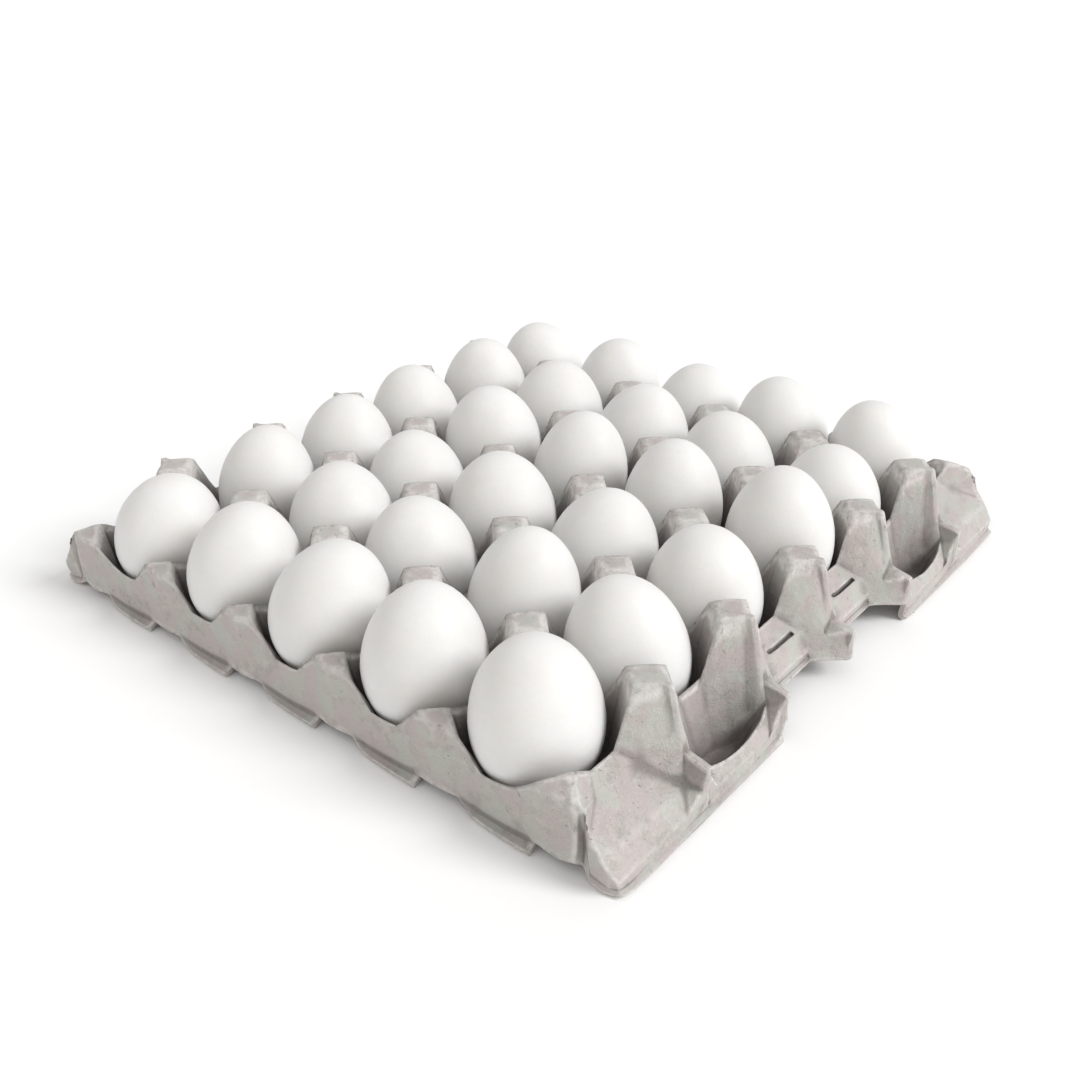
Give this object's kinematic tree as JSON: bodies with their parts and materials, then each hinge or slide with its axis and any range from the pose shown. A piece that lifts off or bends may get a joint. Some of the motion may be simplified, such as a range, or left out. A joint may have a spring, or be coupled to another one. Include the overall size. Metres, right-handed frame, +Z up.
{
  "type": "moulded pulp egg tray with white eggs",
  "caption": "Open square tray of grey moulded pulp with rows of cups, square posts between them and finger holds at two edges, filled with white hen's eggs.",
  "frame": {"origin": "plan centre of the grid of cups, at the tray's underside, on the ground", "axes": "+X across the five columns of cups towards an edge with finger holds, +Y along the six rows of cups, +Z up"},
  "size_m": [0.291, 0.291, 0.0615],
  "materials": {
    "grey_pulp": "rough, fibrous, unbleached grey moulded pulp",
    "white_shell": "matt white eggshell"
  },
  "bodies": {
    "root": {"tray": "grey_pulp", "egg_a1": "white_shell", "egg_a2": "white_shell", "egg_a3": "white_shell", "egg_a4": "white_shell", "egg_a5": "white_shell", "egg_a6": "white_shell", "egg_b1": "white_shell", "egg_b2": "white_shell", "egg_b3": "white_shell", "egg_b4": "white_shell", "egg_b5": "white_shell", "egg_b6": "white_shell", "egg_c1": "white_shell", "egg_c2": "white_shell", "egg_c3": "white_shell", "egg_c4": "white_shell", "egg_c5": "white_shell", "egg_c6": "white_shell", "egg_d1": "white_shell", "egg_d2": "white_shell", "egg_d3": "white_shell", "egg_d4": "white_shell", "egg_d5": "white_shell", "egg_d6": "white_shell", "egg_e1": "white_shell", "egg_e2": "white_shell", "egg_e3": "white_shell", "egg_e4": "white_shell", "egg_e5": "white_shell", "egg_e6": "white_shell"}
  },
  "joints": []
}
